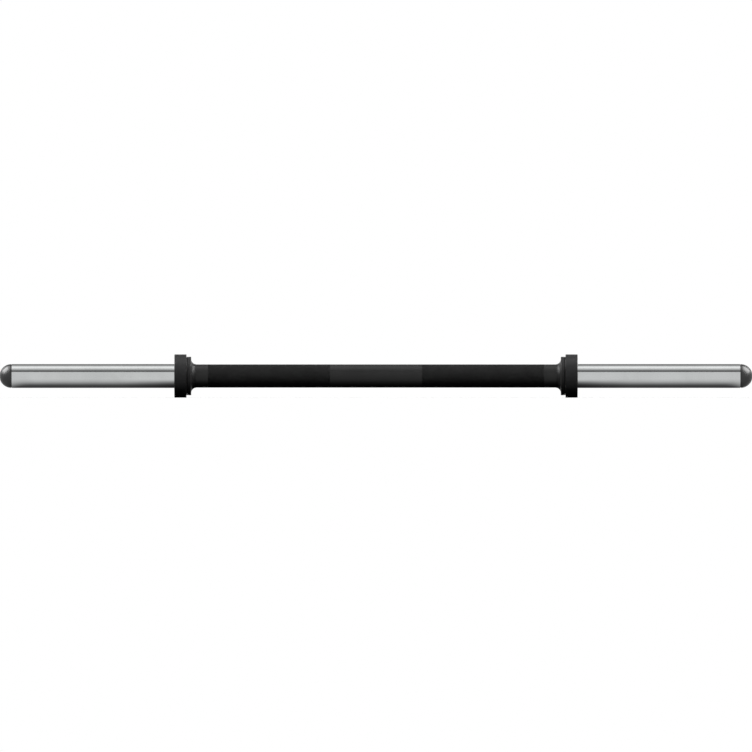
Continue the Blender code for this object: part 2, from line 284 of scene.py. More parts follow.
# the shared effects that a material uses, each with its own values
def placeEffects(tree, effects):
    coordinates = addNode(tree, "TexCoord").outputs["Object"]   # the piece's own, in metres
    placed = {}
    for effect, values in effects.items():
        node = addNode(tree, "Group", node_tree=groups[effect])
        feed(tree, node.inputs["Coordinates"], coordinates)
        for label, value in values.items():
            feed(tree, node.inputs[label], value)
        placed[effect] = node.outputs
        if effect == "edgeWear":   # 1 on rounded edges and knurl crests, stored with the mesh
            edge = addNode(tree, "Attribute", attribute_name="edge")
            feed(tree, node.inputs["Edge"], edge.outputs["Fac"])
    return placed


# tone that drifts to a cloudy one, and to a worn one where an edge is rubbed
def toneOf(tree, look, placed):
    cloud = stretchRange(tree, placed["surfaceGrain"]["Cloud"], *look["clouds"])
    tone = mixColours(tree, cloud, look["tone"], look["cloudy"])
    if "worn" in look:
        tone = mixColours(tree, placed["edgeWear"]["Mask"], tone, look["worn"])
    return tone


grainRange = (0.3, 0.7)   # the part of the grain's values that roughness is spread over


# roughness from one value to another, in rings round a turned piece or from grain to grain,
# and what hairlines and handling add to it
def roughnessOf(tree, look, placed):
    first, last = look["roughness"]
    if look.get("inRings"):
        rough = calc(tree, "MULTIPLY_ADD", placed["turningMarks"]["Streak"], last - first, first)
    else:
        rough = stretchRange(tree, placed["surfaceGrain"]["Grain"], *grainRange, first, last)
    for effect, added in look.get("roughened", {}).items():
        rough = calc(tree, "MULTIPLY_ADD", placed[effect]["Mask"], added, rough)
    return rough


# a material's start: its tone, its roughness and what is even all over it
def startMaterial(name, look):
    material = bpy.data.materials.new(name)
    material.use_nodes = True
    tree = material.node_tree
    shader = tree.nodes["Principled BSDF"]
    placed = placeEffects(tree, look["effects"])
    feed(tree, shader.inputs["Base Color"], toneOf(tree, look, placed))
    feed(tree, shader.inputs["Roughness"], roughnessOf(tree, look, placed))
    for label, value in look.get("even", {}).items():
        shader.inputs[label].default_value = value
    return material, tree, shader, placed


def setRelief(tree, shader, look, height):
    bump = addNode(tree, "Bump")
    bump.inputs["Distance"].default_value = look["relief"]
    feed(tree, bump.inputs["Height"], height)
    feed(tree, shader.inputs["Normal"], bump.outputs["Normal"])


# hard chrome of the loading sleeves
hardChrome = {
    "tone": (0.547, 0.560, 0.560, 1), "cloudy": (0.502, 0.513, 0.512, 1), "worn": grey(0.46),
    "clouds": (0.35, 0.7), "roughness": (0.070, 0.115), "inRings": True,
    "roughened": {"hairlines": 0.10, "handling": 0.05}, "even": {"Metallic": 1.0},
    "hairDepth": -0.3, "relief": 0.000007,
    "effects": {"turningMarks": {"Ring Spacing": 0.0007, "Waver": 0.0003},
                "surfaceGrain": {"Grain Size": 0.0009, "Cloud Size": 0.05},
                "hairlines": {"Length": 0.06, "Spacing": 0.0006, "Amount": 0.6},
                "handling": {"Patch Size": 0.045, "Amount": 0.5},
                "edgeWear": {"Breakup Size": 0.003, "Amount": 0.7}},
}


def makeHardChrome():
    look = hardChrome
    material, tree, shader, placed = startMaterial("hardChrome", look)
    height = calc(tree, "MULTIPLY_ADD", placed["hairlines"]["Mask"], look["hairDepth"],
                  placed["turningMarks"]["Height"])
    setRelief(tree, shader, look, height)
    return material


# satin black coat of the collars and flanges
satinBlack = {
    "tone": (0.0355, 0.0355, 0.0359, 1), "cloudy": (0.0418, 0.0418, 0.0425, 1),
    "worn": (0.16, 0.157, 0.152, 1), "wornMetal": 0.9, "clouds": (0.3, 0.7),
    "roughness": (0.34, 0.44), "roughened": {"handling": 0.12},
    "even": {"Specular IOR Level": 0.08}, "ringShare": 0.5, "relief": 0.000022,
    "effects": {"turningMarks": {"Ring Spacing": 0.0011, "Waver": 0.0002},
                "surfaceGrain": {"Grain Size": 0.0005, "Cloud Size": 0.02},
                "edgeWear": {"Breakup Size": 0.0035, "Amount": 0.55},
                "handling": {"Patch Size": 0.03, "Amount": 0.5}},
}


def makeSatinBlack():
    look = satinBlack
    material, tree, shader, placed = startMaterial("satinBlack", look)
    bare = calc(tree, "MULTIPLY", placed["edgeWear"]["Mask"], look["wornMetal"])
    feed(tree, shader.inputs["Metallic"], bare)
    height = calc(tree, "MULTIPLY_ADD", placed["turningMarks"]["Height"], look["ringShare"],
                  placed["surfaceGrain"]["Grain"])
    setRelief(tree, shader, look, height)
    return material


# black oxide of the grip's plain bands
blackOxide = {
    "tone": grey(0.0250), "cloudy": grey(0.0305), "worn": (0.108, 0.108, 0.109, 1),
    "clouds": (0.3, 0.7), "roughness": (0.31, 0.40), "inRings": True,
    "roughened": {"handling": 0.10}, "even": {"Specular IOR Level": 0.205},
    "grainShare": 0.9, "relief": 0.000018,
    "effects": {"turningMarks": {"Ring Spacing": 0.0008, "Waver": 0.0002},
                "surfaceGrain": {"Grain Size": 0.0007, "Cloud Size": 0.035},
                "handling": {"Patch Size": 0.05, "Amount": 0.6},
                "edgeWear": {"Breakup Size": 0.003, "Amount": 0.4}},
}


def makeBlackOxide():
    look = blackOxide
    material, tree, shader, placed = startMaterial("blackOxide", look)
    height = calc(tree, "MULTIPLY_ADD", placed["surfaceGrain"]["Grain"], look["grainShare"],
                  placed["turningMarks"]["Height"])
    setRelief(tree, shader, look, height)
    return material


# the duller oxide between the knurl's crests, which handling polishes
knurledOxide = {
    "tone": grey(0.0475), "cloudy": grey(0.0375), "worn": (0.108, 0.108, 0.109, 1),
    "clouds": (0.3, 0.7), "roughness": (0.64, 0.52), "roughened": {"handling": -0.08},
    "even": {"Specular IOR Level": 0.015}, "relief": 0.00001,
    "effects": {"surfaceGrain": {"Grain Size": 0.0004, "Cloud Size": 0.03},
                "handling": {"Patch Size": 0.06, "Amount": 0.5},
                "edgeWear": {"Breakup Size": 0.009, "Amount": 0.8}},
}


def makeKnurledOxide():
    look = knurledOxide
    material, tree, shader, placed = startMaterial("knurledOxide", look)
    setRelief(tree, shader, look, placed["surfaceGrain"]["Grain"])
    return material


# moulded polymer of the thrust washers
mouldedPolymer = {
    "tone": (0.008, 0.008, 0.0083, 1), "cloudy": (0.012, 0.012, 0.0125, 1), "worn": grey(0.035),
    "clouds": (0.3, 0.7), "roughness": (0.52, 0.66), "even": {"Specular IOR Level": 0.12},
    "relief": 0.00002,
    "effects": {"surfaceGrain": {"Grain Size": 0.0003, "Cloud Size": 0.012},
                "edgeWear": {"Breakup Size": 0.004, "Amount": 0.8}},
}


def makeMouldedPolymer():
    look = mouldedPolymer
    material, tree, shader, placed = startMaterial("mouldedPolymer", look)
    setRelief(tree, shader, look, placed["surfaceGrain"]["Grain"])
    return material


# dark polished metal of the domed caps
darkGunmetal = {
    "tone": grey(0.0395), "cloudy": grey(0.0485), "worn": grey(0.30), "clouds": (0.3, 0.7),
    "roughness": (0.33, 0.41), "inRings": True, "roughened": {"handling": 0.08},
    "even": {"Metallic": 1.0}, "grainShare": 0.4, "relief": 0.000005,
    "effects": {"turningMarks": {"Ring Spacing": 0.0004, "Waver": 0.0001},
                "surfaceGrain": {"Grain Size": 0.0005, "Cloud Size": 0.012},
                "handling": {"Patch Size": 0.015, "Amount": 0.5},
                "edgeWear": {"Breakup Size": 0.002, "Amount": 0.5}},
}


def makeDarkGunmetal():
    look = darkGunmetal
    material, tree, shader, placed = startMaterial("darkGunmetal", look)
    height = calc(tree, "MULTIPLY_ADD", placed["surfaceGrain"]["Grain"], look["grainShare"],
                  placed["turningMarks"]["Height"])
    setRelief(tree, shader, look, height)
    return material


# rubber of the rings that hold the caps
sealRubber = {
    "tone": grey(0.012), "cloudy": (0.030, 0.030, 0.031, 1), "clouds": (0.45, 0.75),
    "roughness": (0.60, 0.78), "relief": 0.00001,
    "effects": {"surfaceGrain": {"Grain Size": 0.0002, "Cloud Size": 0.006}},
}


def makeSealRubber():
    look = sealRubber
    material, tree, shader, placed = startMaterial("sealRubber", look)
    setRelief(tree, shader, look, placed["surfaceGrain"]["Grain"])
    return material


# bare metals of the pieces held inside, and what they share
insideMetals = {
    "groundSteel": {"tone": (0.44, 0.44, 0.45, 1), "cloudy": (0.36, 0.36, 0.37, 1),
                    "roughness": (0.20, 0.32), "ringSpacing": 0.0005, "relief": 0.000004},
    "bearingBronze": {"tone": (0.60, 0.38, 0.17, 1), "cloudy": (0.44, 0.26, 0.11, 1),
                      "roughness": (0.28, 0.42), "ringSpacing": 0.0008, "relief": 0.000006},
    "springSteel": {"tone": (0.150, 0.150, 0.165, 1), "cloudy": (0.105, 0.105, 0.118, 1),
                    "roughness": (0.30, 0.44), "ringSpacing": 0.0003, "relief": 0.000004},
}
bareMetal = {
    "clouds": (0.35, 0.68), "inRings": True, "roughened": {"hairlines": 0.12},
    "even": {"Metallic": 1.0}, "waver": 0.0002,
    "effects": {"surfaceGrain": {"Grain Size": 0.0005, "Cloud Size": 0.014},
                "hairlines": {"Length": 0.02, "Spacing": 0.0005, "Amount": 0.5}},
}


def makeInsideMetal(name):
    look = {**bareMetal, **insideMetals[name]}
    rings = {"Ring Spacing": look["ringSpacing"], "Waver": look["waver"]}
    look["effects"] = {"turningMarks": rings, **bareMetal["effects"]}
    material, tree, shader, placed = startMaterial(name, look)
    setRelief(tree, shader, look, placed["turningMarks"]["Height"])
    return material


materials = {
    "hardChrome": makeHardChrome(), "satinBlack": makeSatinBlack(),
    "blackOxide": makeBlackOxide(), "knurledOxide": makeKnurledOxide(),
    "mouldedPolymer": makeMouldedPolymer(), "darkGunmetal": makeDarkGunmetal(),
    "sealRubber": makeSealRubber(),
}
for metal in insideMetals:
    materials[metal] = makeInsideMetal(metal)
print("materials made:", len(materials))

# how finely round shapes are made: steps round the bar and in a rounded corner, for most pieces
# and for the flange and the sleeve
turning = {
    "steps": 160, "fineSteps": 192, "cornerSteps": 4, "fineCornerSteps": 5,
    "sharpAngle": 40,   # from this angle on, an edge is shown sharp
    "onAxis": 1e-6,   # a smaller radius is a point on the axis
}


# outline corners (along, radius, rounding) to points (along, radius, edge), each corner rounded
def softened(corners, steps=turning["cornerSteps"]):
    points = []
    for index, (along, radius, rounding) in enumerate(corners):
        if not rounding:
            points.append((along, radius, 0.0))
            continue
        corner = Vector((along, radius))
        back = (Vector(corners[index - 1][:2]) - corner).normalized()
        ahead = (Vector(corners[(index + 1) % len(corners)][:2]) - corner).normalized()
        half = back.angle(ahead) / 2
        centre = corner + (back + ahead).normalized() * (rounding / math.sin(half))
        setBack = rounding / math.tan(half)
        first = (corner + back * setBack - centre).normalized()
        last = (corner + ahead * setBack - centre).normalized()
        before = corner + back * setBack * 2   # keeps wear and shading close to the corner
        points.append((before.x, before.y, 0.0))
        for step in range(steps + 1):
            arm = centre + first.slerp(last, step / steps) * rounding
            points.append((arm.x, arm.y, 0.5 + 0.5 * math.sin(math.pi * step / steps)))
        after = corner + ahead * setBack * 2
        points.append((after.x, after.y, 0.0))
    return points


# where a point of an outline stands once it is turned by a step round the bar's axis
def turnedPoint(along, radius, step, steps):
    angle = 2 * math.pi * step / steps
    return along, radius * math.sin(angle), radius * math.cos(angle)


def finishMesh(name, vertices, faces, edges):
    mesh = bpy.data.meshes.new(name)
    mesh.from_pydata(vertices, [], faces)
    stored = mesh.attributes.new("edge", "FLOAT", "POINT")
    stored.data.foreach_set("value", edges)
    shape = bmesh.new()
    shape.from_mesh(mesh)
    bmesh.ops.recalc_face_normals(shape, faces=shape.faces)
    shape.to_mesh(mesh)
    shape.free()
    mesh.shade_smooth()
    mesh.set_sharp_from_angle(angle=math.radians(turning["sharpAngle"]))
    return mesh


# turns an outline round the bar's axis; points on the axis become one vertex
def turnedMesh(name, outline, side, steps, closed):
    vertices, edges, rings = [], [], []
    for along, radius, edge in outline:
        start = len(vertices)
        count = 1 if radius < turning["onAxis"] else steps
        for step in range(count):
            vertices.append(turnedPoint(side * along, radius, step, steps))
            edges.append(edge)
        rings.append(range(start, start + count))
    faces = []
    for ring, following in zip(rings, rings[1:] + rings[:1] if closed else rings[1:]):
        for step in range(steps):
            loop = [ring[step % len(ring)], ring[(step + 1) % len(ring)],
                    following[(step + 1) % len(following)], following[step % len(following)]]
            faces.append(list(dict.fromkeys(loop)))
    return finishMesh(name, vertices, faces, edges)


def addPiece(name, mesh, finishes, node, body):
    for finish in finishes:
        mesh.materials.append(materials[finish])
    piece = bpy.data.objects.new(name, mesh)
    bpy.context.scene.collection.objects.link(piece)
    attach(piece, body)
    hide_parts(node)
    return piece


# round holes straight across the bar, for the pins that lock the spindles in the grip tube
pinHole = {"diameter": 0.0066, "setback": 0.0070, "segments": 32,
           "merge": 0.000005}   # points closer than this become one after the cut


def drillAcross(piece, places, length):
    radius, merge = pinHole["diameter"] / 2, pinHole["merge"]
    for along in places:
        rod = bmesh.new()
        spot = Matrix.Translation((along, 0, 0)) @ Matrix.Rotation(math.pi / 2, 4, "X")
        bmesh.ops.create_cone(rod, cap_ends=True, segments=pinHole["segments"], radius1=radius,
                              radius2=radius, depth=length, matrix=spot)
        shape = bpy.data.meshes.new("drill")
        rod.to_mesh(shape)
        rod.free()
        cutter = bpy.data.objects.new("drill", shape)
        bpy.context.scene.collection.objects.link(cutter)
        hole = piece.modifiers.new("pinHole", "BOOLEAN")
        hole.operation, hole.solver, hole.object = "DIFFERENCE", "EXACT", cutter
        bpy.context.view_layer.update()
        solid = piece.evaluated_get(bpy.context.evaluated_depsgraph_get())
        cut = bpy.data.meshes.new_from_object(solid)
        clean = bmesh.new()
        clean.from_mesh(cut)
        bmesh.ops.remove_doubles(clean, verts=clean.verts, dist=merge)
        bmesh.ops.dissolve_degenerate(clean, edges=clean.edges, dist=merge)
        clean.to_mesh(cut)
        clean.free()
        piece.modifiers.remove(hole)
        piece.data = cut
        bpy.data.objects.remove(cutter)
        bpy.data.meshes.remove(shape)


# grip tube with its two knurled zones; the crests stand where the solid's knurled zone does
gripTube = {
    "steps": 208, "plainRadius": 0.02415, "bore": 0.01805, "endRounding": 0.0006,
    "centreBand": 0.1914, "knurlLength": 0.2538, "rowPitch": 0.00125,
    "depth": 0.00045, "uneven": 0.00003, "fade": 0.0011, "seed": 14,
    # the rounded end, in roundings from its face and below the plain radius, and its wear
    "endCorner": ((0, 1, 0.0), (0.3, 0.3, 0.8), (1, 0, 0.4), (3, 0, 0.0)),
}


# one knurled zone: every other point of a row is a crest, a step on from the row before
def knurlRows(crest, chance):
    look = gripTube
    start = look["centreBand"] / 2
    count = round(look["knurlLength"] / look["rowPitch"])
    pitch = look["knurlLength"] / count
    rows = []
    for row in range(1, count):
        along = start + row * pitch
        fade = min(1.0, row * pitch / look["fade"], (count - row) * pitch / look["fade"])
        ring = []
        for step in range(look["steps"]):
            low = (row + step) % 2
            drop = look["depth"] * fade if low else 0.0
            drop += look["uneven"] * chance.random()
            ring.append((crest - drop, 0.0 if low else 1.0))
        rows.append((along, ring))
    return rows


# the tube's outside from left to right and its bore back again, as rows of
# (along, ring of (radius, edge), knurled up to the next row)
def gripRows(tubeEnd, crest):
    look = gripTube
    plain, bore, rounding = look["plainRadius"], look["bore"], look["endRounding"]
    start = look["centreBand"] / 2
    end = start + look["knurlLength"]
    pastPin = tubeEnd - 2 * pinHole["setback"]   # keeps the faces that the pin hole cuts short
    chance = random.Random(look["seed"])

    def evenRing(radius, edge=0.0):
        return [(radius, edge)] * look["steps"]

    outer = [(-tubeEnd + rounding * inward, evenRing(plain - rounding * below, edge), False)
             for inward, below, edge in look["endCorner"]]
    outer.append((-pastPin, evenRing(plain), False))
    rows = list(outer)
    for side in (-1, 1):
        zone = [(side * along, ring, True) for along, ring in knurlRows(crest, chance)]
        rows.append((min(side * start, side * end), evenRing(plain), True))
        rows += zone if side > 0 else zone[::-1]
        rows.append((max(side * start, side * end), evenRing(plain), False))
    rows += [(-along, ring, False) for along, ring, zone in reversed(outer)]
    rows.append((tubeEnd, evenRing(bore + rounding), False))
    rows += [(along, evenRing(bore), False) for along in (
        tubeEnd - rounding, pastPin, -pastPin, rounding - tubeEnd)]
    rows.append((-tubeEnd, evenRing(bore + rounding), False))
    return rows


# faces from row to row; a knurled one is split along its groove
def gripFaces(rows, edges):
    steps = gripTube["steps"]
    faces, knurled = [], []
    for index, (along, ring, zone) in enumerate(rows):
        first, second = index * steps, (index + 1) % len(rows) * steps
        for step in range(steps):
            after = (step + 1) % steps
            near, nearNext = first + step, first + after
            far, farNext = second + step, second + after
            if not zone:
                faces.append((near, nearNext, farNext, far))
                continue
            knurled += [len(faces), len(faces) + 1]
            if edges[near] + edges[farNext] >= edges[nearNext] + edges[far]:
                faces += [(near, nearNext, far), (nearNext, farNext, far)]
            else:
                faces += [(near, nearNext, farNext), (near, farNext, far)]
    return faces, knurled


def makeGripTube():
    look = gripTube
    tubeEnd, crest = placeOf("grip_tube")[1:]
    rows = gripRows(tubeEnd, crest)
    vertices, edges = [], []
    for along, ring, zone in rows:
        for step, (radius, edge) in enumerate(ring):
            vertices.append(turnedPoint(along, radius, step, look["steps"]))
            edges.append(edge)
    faces, knurled = gripFaces(rows, edges)
    mesh = finishMesh("knurled_grip", vertices, faces, edges)
    finish = [0] * len(mesh.polygons)
    smooth = [True] * len(mesh.polygons)
    for index in knurled:
        finish[index], smooth[index] = 1, False
    mesh.polygons.foreach_set("material_index", finish)
    mesh.polygons.foreach_set("use_smooth", smooth)
    grip = addPiece("knurled_grip", mesh, ["blackOxide", "knurledOxide"], "grip_tube",
                    "handle")
    pinPlace = tubeEnd - pinHole["setback"]
    drillAcross(grip, [-pinPlace, pinPlace], 4 * look["plainRadius"])


# shoulder collar: a rim that runs down onto the grip in a hollow flare
shoulderCollar = {
    "node": "shoulder_collar", "finish": "satinBlack", "slot": "satin_black",
    "bore": 0.02445, "lipLength": 0.0016, "lipRadius": 0.0246, "lipBevel": (0.0002, 0.0001),
    "flareStart": 15, "flareLength": 0.0084, "flareSteps": 14, "rimRounding": 0.0006,
}


def collarOutline(start, end, rim):
    look = shoulderCollar
    bore, lip, rounding = look["bore"], look["lipRadius"], look["rimRounding"]
    bevelLength, bevelDepth = look["lipBevel"]
    first = math.radians(look["flareStart"])
    flare = look["flareLength"] / (1 - math.sin(first))   # the hollow's radius
    foot = start + look["lipLength"]
    outline = [(start, lip - bevelDepth, 0.0), (start + bevelLength, lip, 0.0)]
    for step in range(look["flareSteps"] + 1):
        turn = first + (math.pi / 2 - first) * step / look["flareSteps"]
        outline.append((foot + flare * (math.sin(turn) - math.sin(first)),
                        lip + flare * (math.cos(first) - math.cos(turn)), 0.0))
    face, top = outline[-1][:2]
    corners = [(start, bore, 0), (face, top, 0), (face, rim, rounding), (end, rim, rounding),
               (end, bore, rounding)]
    outline += softened(corners)[2:]   # the first two only lead into the rim's rounding
    outline.append((start, bore, 0.0))
    return outline


# polymer washer between the collar and the turning flange
thrustWasher = {
    "node": "thrust_washer", "finish": "mouldedPolymer", "slot": "black_polymer",
    "bore": 0.0153, "boreRounding": 0.00025, "rounding": 0.0005,
}


def washerOutline(start, end, rim):
    look = thrustWasher
    bore, inner, outer = look["bore"], look["boreRounding"], look["rounding"]
    return softened([(start, bore, inner), (start, rim, outer), (end, rim, outer),
                     (end, bore, inner)])


# flange that the plates lean on, with the pocket that the sleeve's shoulder seats in
plateFlange = {
    "node": "flange", "finish": "satinBlack", "slot": "satin_black", "turns": True, "fine": True,
    "seat": 0.0238, "mouth": 0.0253, "pocket": 0.003, "rounding": 0.0010,
    "innerRounding": 0.0004, "mouthRounding": 0.0004,
}


def flangeOutline(start, end, rim):
    look = plateFlange
    seat, mouth, mouthRounding = look["seat"], look["mouth"], look["mouthRounding"]
    floor = end - look["pocket"]
    corners = [
        (start, seat, mouthRounding), (start, rim, look["innerRounding"]),
        (end, rim, look["rounding"]), (end, mouth, mouthRounding), (floor, mouth, 0),
        (floor, seat, 0),
    ]
    return softened(corners, turning["fineCornerSteps"])


# chromed loading sleeve, hollow, with a recess for the bushings at each end
loadingSleeve = {
    "node": "sleeve", "finish": "hardChrome", "slot": "hard_chrome", "turns": True, "fine": True,
    "seat": 0.0235, "bore": 0.0186, "recess": 0.0205, "recessDepth": 0.0028,
    "shoulder": 0.0223, "counterboreDepth": 0.0287, "rounding": 0.0003, "endRounding": 0.0001,
    "shadowGap": 0.0007,   # a little more air beside the cap than the solids have
}


def sleeveOutline(start, end, rim):
    look = loadingSleeve
    seat, bore, recess = look["seat"], look["bore"], look["recess"]
    rounding = look["rounding"]
    shoulder = start + look["shoulder"]
    recessEnd = start + look["recessDepth"]
    floor = end - look["counterboreDepth"]
    face = end - look["shadowGap"]
    corners = [
        (start, recess, 0), (start, seat, rounding), (shoulder, seat, 0),
        (shoulder, rim, rounding), (face, rim, look["endRounding"]), (face, recess, rounding),
        (floor, recess, 0), (floor, bore, 0), (recessEnd, bore, 0), (recessEnd, recess, 0),
    ]
    return softened(corners, turning["fineCornerSteps"])


# domed cap: a hollow hemisphere on a grooved spigot that presses into the sleeve, with a
# narrow line turned down beside the joint
domedCap = {
    "node": "end_cap", "finish": "darkGunmetal", "slot": "gunmetal", "turns": True, "open": True,
    "radius": 0.0247, "spigotRadius": 0.0202, "spigot": 0.012, "grooveFloor": 0.0179,
    "bore": 0.0167, "grooveHalf": 0.0013, "grooveSetback": 0.0045, "steps": 26, "boreSteps": 12,
    "shadowLine": 0.0006, "shadowDepth": 0.0006, "neck": 0.0007, "chamfer": 0.0005,
}


def capOutline(start, end, radius):
    look = domedCap
    plane = end - look["radius"]
    face, back = plane - look["neck"], plane - look["spigot"]
    line = look["shadowLine"]
    domeStart = math.asin(line / radius)
    outline = []
    for step in range(look["steps"] + 1):
        turn = domeStart + (math.pi / 2 - domeStart) * (1 - step / look["steps"])
        outline.append((plane + radius * math.sin(turn), max(0.0, radius * math.cos(turn)), 0.0))
    neck = radius - look["shadowDepth"]
    spigot, floor = look["spigotRadius"], look["grooveFloor"]
    bore, chamfer = look["bore"], look["chamfer"]
    low = plane - look["grooveSetback"] - look["grooveHalf"]
    high = plane - look["grooveSetback"] + look["grooveHalf"]
    outline += [
        (plane + line, neck, 0.0), (face, neck, 0.0), (face, spigot, 0.0), (high, spigot, 0.0),
        (high, floor, 0.0), (low, floor, 0.0), (low, spigot, 0.0), (back + chamfer, spigot, 0.5),
        (back, spigot - chamfer, 0.5), (back, bore, 0.0),
    ]
    for step in range(look["boreSteps"] + 1):
        turn = math.pi / 2 * step / look["boreSteps"]
        outline.append((plane + bore * math.sin(turn), max(0.0, bore * math.cos(turn)), 0.0))
    return outline


# every turned piece: what works out its outline, and its dictionary, which also says whether
# it turns with the sleeve, has the finer steps, and has an open outline, from axis to axis
turnedPieces = {
    "flared_collar": (collarOutline, shoulderCollar),
    "polymer_washer": (washerOutline, thrustWasher),
    "plate_flange": (flangeOutline, plateFlange),
    "chrome_sleeve": (sleeveOutline, loadingSleeve),
    "domed_cap": (capOutline, domedCap),
}


def makeTurnedPiece(name, sideName):
    outlineOf, look = turnedPieces[name]
    node = look["node"] + "_" + sideName
    steps = turning["fineSteps"] if look.get("fine") else turning["steps"]
    mesh = turnedMesh(node, outlineOf(*placeOf(node)), sides[sideName], steps,
                      closed=not look.get("open"))
    body = sideName + "_sleeve" if look.get("turns") else "handle"
    addPiece(name + "_" + sideName, mesh, [look["finish"]], node, body)


makeGripTube()
print("grip tube knurled")
for sideName in sides:
    for name in turnedPieces:
        makeTurnedPiece(name, sideName)
print("collars, washers, flanges, sleeves and caps turned")

# the solids that stay, with the finish each one gets
insideFinish = {
    "spindle": "groundSteel", "end_washer": "groundSteel", "inner_bushing": "bearingBronze",
    "outer_bushing": "bearingBronze", "wear_washer": "bearingBronze", "snap_ring": "springSteel",
    "cross_pin": "springSteel", "cap_o_ring": "sealRubber",
}
for kind, finish in insideFinish.items():
    for sideName in sides:
        kept = frame["nodes"][kind + "_" + sideName].data
        kept.materials.clear()
        kept.materials.append(materials[finish])
print("inner pieces finished")

# studio floor under the flanges: for the camera pale where the bar's real shadow lies and plain
# white further off; in reflections a white glow with a painted shadow of the bar
studioFloor = {
    "half": 60.0, "pale": 0.80,
    "bounce": 0.01,   # how pale it is for the light that it throws back onto the bar
    "shadowReach": (0.10, 0.60), "whiteShare": 0.30,   # from the shadow to plain white
    "lift": (0.26, 0.48), "liftReach": 0.6,   # from in front of the bar to behind it
    # the painted shadow in reflections ends here, and the camera's fade to white is measured from
    # here too
    "shadowShort": 0.064,   # the shadow ends this much before the bar does
}
# what reflections see of it, a painted shadow of the bar: brightness from its middle (0) outwards
# (1)
paintedFloorShadow = {
    "middle": 0.024, "reach": 0.15,
    "stops": ((0.0, 0.075), (0.21, 0.08), (0.29, 0.24), (0.34, 0.40), (0.41, 0.60),
              (0.49, 0.78), (0.60, 0.88), (0.80, 0.97)),
    # painted shade, darker near the flanges and darkest right under them
    "paintedFlangeShadow": {"along": (0.0, 0.122, 0.75, 0.0), "aside": (0.012, 0.075, 1.0, 0.0)},
    "paintedShadeUnderFlange": {"along": (0.010, 0.013), "aside": (0.032, 0.052)},
    # painted shade under the grip, deeper than under the chrome
    "paintedShadeUnderGrip": (0.02, 0.085, 0.1, 1.0),   # the black grip throws less light down than chrome
}
# walls: white for the camera, a faint glow for light, and in reflections pale under a dark
# ceiling, from level (0) to straight up (1); the ceiling's edge hangs lower behind the bar
studioWalls = {
    "glow": 0.05, "backDrop": 0.33, "backSpread": 4,
    "stops": ((0.0, 0.98), (0.615, 0.95), (0.640, 0.18), (0.79, 0.20), (0.85, 0.34),
              (0.875, 0.68), (0.955, 0.80), (0.972, 0.30), (1.0, 0.30)),
}


# brightness along a row of stops
def ramp(tree, place, stops):
    node = addNode(tree, "ValToRGB")
    elements = node.color_ramp.elements
    while len(elements) < len(stops):
        elements.new(0.5)
    for element, (position, value) in zip(elements, stops):
        element.position = position
        element.color = grey(value)
    feed(tree, node.inputs[0], place)
    return node.outputs[0]


# which rays see what: the camera's own, and those that a polished or clear surface sends on
def rayKinds(tree):
    ray = addNode(tree, "LightPath").outputs
    return ray["Is Camera Ray"], calc(tree, "MAXIMUM", ray["Is Glossy Ray"],
                                      ray["Is Transmission Ray"])


# the bar's painted shadow on the floor as reflections see it: how much of the floor's white it
# leaves
def paintedShadowInReflections(tree, place, beyond):
    look = paintedFloorShadow
    fromMiddle = hypotenuse(tree, beyond, calc(tree, "SUBTRACT", place["Y"], look["middle"]))
    # painted shadow: a dark strip along the bar, lightening outwards
    paintedShadowStrip = ramp(tree, calc(tree, "DIVIDE", fromMiddle, look["reach"]), look["stops"])
    flangeStart, flangeEnd = placeOf("flange_left")[:2]
    distance = calc(tree, "ABSOLUTE", place["X"])
    along = calc(tree, "ABSOLUTE",
                 calc(tree, "SUBTRACT", distance, (flangeStart + flangeEnd) / 2))
    aside = calc(tree, "ABSOLUTE", place["Y"])
    wide, deep = look["paintedFlangeShadow"], look["paintedShadeUnderFlange"]
    # painted shade: wide near each flange, deep right under it, and deeper under the grip
    dim = calc(tree, "MULTIPLY", stretchRange(tree, along, *wide["along"]),
               stretchRange(tree, aside, *wide["aside"], smooth=True))
    beside = calc(tree, "MAXIMUM", stretchRange(tree, along, *deep["along"]),
                  stretchRange(tree, aside, *deep["aside"]))
    pastGrip = calc(tree, "GREATER_THAN", distance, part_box("grip_tube")[1].x)
    paintedShadeUnderGrip = calc(tree, "MAXIMUM", pastGrip,
                     stretchRange(tree, fromMiddle, *look["paintedShadeUnderGrip"]))
    clear = calc(tree, "MULTIPLY", calc(tree, "SUBTRACT", 1.0, dim), beside)
    return calc(tree, "MULTIPLY", calc(tree, "MULTIPLY", clear, paintedShadeUnderGrip), paintedShadowStrip)


